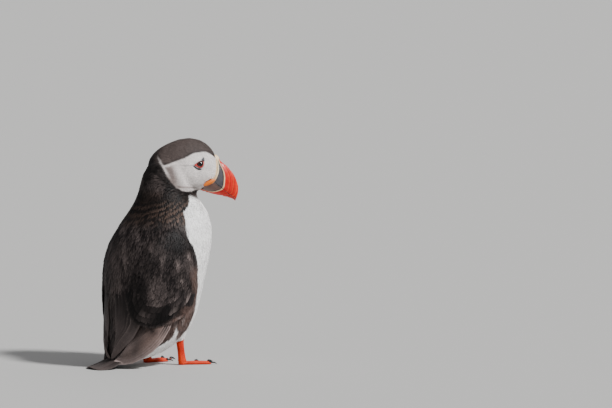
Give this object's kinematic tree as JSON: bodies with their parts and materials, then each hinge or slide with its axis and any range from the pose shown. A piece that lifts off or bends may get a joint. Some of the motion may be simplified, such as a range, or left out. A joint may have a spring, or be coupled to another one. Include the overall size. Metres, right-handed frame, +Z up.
{
  "type": "atlantic puffin",
  "caption": "Life-size standing Atlantic puffin with folded wings and webbed feet, head turned to its right over the shoulder.",
  "frame": {"origin": "on the floor under the middle of the bird's overall box", "axes": "+Z up, the body faces -Y, +X to the bird's left; the head is turned to the bird's right, towards -X"},
  "size_m": [0.102, 0.1504, 0.2199],
  "materials": {
    "black_plumage": "matte feathers",
    "white_plumage": "matte feathers",
    "face_plumage": "matte feathers",
    "bill_horn": "satin horn",
    "cere_skin": "satin skin",
    "gape_skin": "satin skin",
    "eye_glass": "polished",
    "eyelid_skin": "satin skin",
    "slate_horn": "satin horn",
    "leg_skin": "satin skin",
    "claw_horn": "satin horn"
  },
  "bodies": {
    "root": {"wing_right": "black_plumage", "primaries_right": "black_plumage", "thigh_right": "white_plumage", "shank_right": "leg_skin", "foot_right": "leg_skin", "eye_right": "eye_glass", "eye_ring_right": "eyelid_skin", "brow_horn_right": "slate_horn", "cheek_horn_right": "slate_horn", "rosette_right": "gape_skin", "claw_right_inner": "claw_horn", "claw_right_middle": "claw_horn", "claw_right_outer": "claw_horn", "wing_left": "black_plumage", "primaries_left": "black_plumage", "thigh_left": "white_plumage", "shank_left": "leg_skin", "foot_left": "leg_skin", "eye_left": "eye_glass", "eye_ring_left": "eyelid_skin", "brow_horn_left": "slate_horn", "cheek_horn_left": "slate_horn", "rosette_left": "gape_skin", "claw_left_inner": "claw_horn", "claw_left_middle": "claw_horn", "claw_left_outer": "claw_horn", "head": "face_plumage", "neck": "black_plumage", "trunk": "white_plumage", "tail": "black_plumage", "cere": "cere_skin", "bill_upper": "bill_horn", "bill_lower": "bill_horn"}
  },
  "joints": []
}
